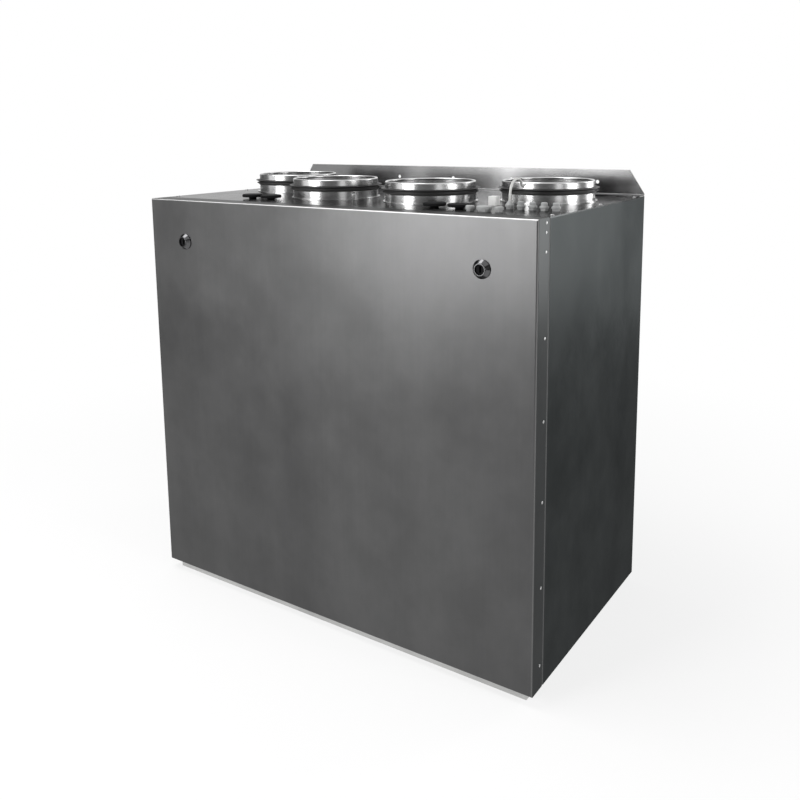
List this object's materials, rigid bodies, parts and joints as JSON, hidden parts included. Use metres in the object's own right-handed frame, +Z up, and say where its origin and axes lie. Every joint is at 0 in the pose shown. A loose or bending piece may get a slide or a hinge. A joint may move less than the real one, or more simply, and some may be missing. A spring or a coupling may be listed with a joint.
{
  "type": "air handling unit",
  "caption": "Upright sheet-steel air handling unit with round duct collars and cable glands on its top, a lift-off front door with key latches, a recessed plinth and a rear wall bracket.",
  "frame": {"origin": "middle of the underside of the plinth, on the floor", "axes": "+Z up, +X to the right as seen by someone facing the door, the door faces -Y"},
  "size_m": [0.8, 0.458, 0.795],
  "materials": {
    "casing_steel": "satin metallic-coated sheet",
    "top_steel": "bright, mirror-like sheet",
    "door_steel": "fine brushed sheet",
    "collar_steel": "polished rolled sheet",
    "bracket_steel": "bright folded sheet",
    "plinth_steel": "bare light sheet",
    "gasket_rubber": "matt black rubber",
    "latch_chrome": "polished chrome",
    "black_plastic": "matt black moulded plastic",
    "gland_plastic": "light grey moulded plastic",
    "white_plastic": "white moulded plastic",
    "lead_plastic": "white cable sheath"
  },
  "bodies": {
    "unit": {"plinth": "plinth_steel", "bottom_panel": "casing_steel", "left_panel": "casing_steel", "right_panel": "casing_steel", "rear_panel": "casing_steel", "top_panel": "top_steel", "door_skin": "door_steel", "door_liner": "casing_steel", "door_seal": "gasket_rubber", "wall_bracket": "bracket_steel", "collar_rear_left": "collar_steel", "collar_front_left": "collar_steel", "collar_front_right": "collar_steel", "collar_rear_right": "collar_steel", "gasket_rear_left": "gasket_rubber", "gasket_front_left": "gasket_rubber", "gasket_front_right": "gasket_rubber", "gasket_rear_right": "gasket_rubber", "latch_ring_left": "latch_chrome", "latch_ring_right": "latch_chrome", "gland_rear_1": "gland_plastic", "gland_rear_2": "gland_plastic", "gland_rear_3": "gland_plastic", "gland_rear_4": "gland_plastic", "gland_rear_5": "gland_plastic", "gland_front_1": "gland_plastic", "gland_front_2": "gland_plastic", "gland_front_3": "gland_plastic", "terminal_block": "white_plastic", "cap_left_outer": "black_plastic", "cap_left_inner": "black_plastic", "cap_right_inner": "black_plastic", "cap_right_outer": "black_plastic", "sensor_lead": "lead_plastic", "sensor_tip": "latch_chrome"},
    "key_left": {"latch_key_left": "black_plastic"},
    "key_right": {"latch_key_right": "black_plastic"}
  },
  "joints": [
    {"name": "latch_left_turn", "type": "hinge", "parent": "unit", "child": "key_left", "pos_m": [-0.311, -0.225, 0.671], "axis": [0, -1, 0], "range_deg": [0, 90]},
    {"name": "latch_right_turn", "type": "hinge", "parent": "unit", "child": "key_right", "pos_m": [0.311, -0.225, 0.671], "axis": [0, 1, 0], "range_deg": [0, 90]}
  ]
}
